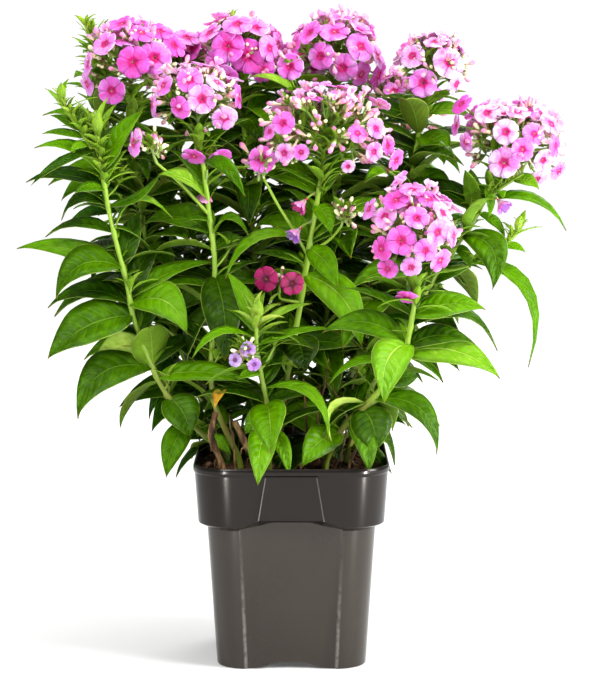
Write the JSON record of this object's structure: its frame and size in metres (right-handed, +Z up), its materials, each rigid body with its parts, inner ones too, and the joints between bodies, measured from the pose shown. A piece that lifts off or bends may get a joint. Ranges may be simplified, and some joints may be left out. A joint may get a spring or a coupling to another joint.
{
  "type": "phlox plant in a square pot",
  "caption": "Border phlox in bloom: leafy upright stems with domed pink flower heads, growing in soil in a square plastic nursery pot.",
  "frame": {"origin": "on the ground under the middle of the plant and its pot", "axes": "+Z up along the stems, -Y towards the front, which is the face of the pot with the label panel, +X to the right seen from the front"},
  "size_m": [0.5079, 0.3245, 0.6006],
  "materials": {
    "pot_plastic": "satin dark warm grey moulded plastic",
    "potting_soil": "matt crumbly dark brown potting soil",
    "green_shoot": "soft satin green leaves and yellow-green stems",
    "dry_stalk": "matt dry brown bark",
    "pink_florets": "velvety bright pink petals",
    "lilac_florets": "velvety lilac petals"
  },
  "bodies": {
    "root": {"pot": "pot_plastic", "soil": "potting_soil", "stem_front_left": "green_shoot", "stem_a": "green_shoot", "stem_a_back": "green_shoot", "stem_b": "green_shoot", "stem_c": "green_shoot", "stem_d": "green_shoot", "stem_e": "green_shoot", "stem_f": "green_shoot", "stem_g": "green_shoot", "stem_h": "green_shoot", "stem_front": "green_shoot", "stem_j": "green_shoot", "stem_k": "green_shoot", "stem_l": "green_shoot", "dry_stalk_left": "dry_stalk", "dry_stalk_middle": "dry_stalk", "dry_stalk_back": "dry_stalk", "head_a": "pink_florets", "head_b": "pink_florets", "head_c": "pink_florets", "head_d": "pink_florets", "head_e": "pink_florets", "head_f": "pink_florets", "head_g": "pink_florets", "head_h": "pink_florets", "head_j": "pink_florets", "head_k": "pink_florets", "head_l": "pink_florets", "head_c_side": "pink_florets", "head_d_side": "pink_florets", "head_d_buds": "pink_florets", "head_low": "pink_florets", "head_single": "pink_florets", "head_lilac": "lilac_florets"}
  },
  "joints": []
}
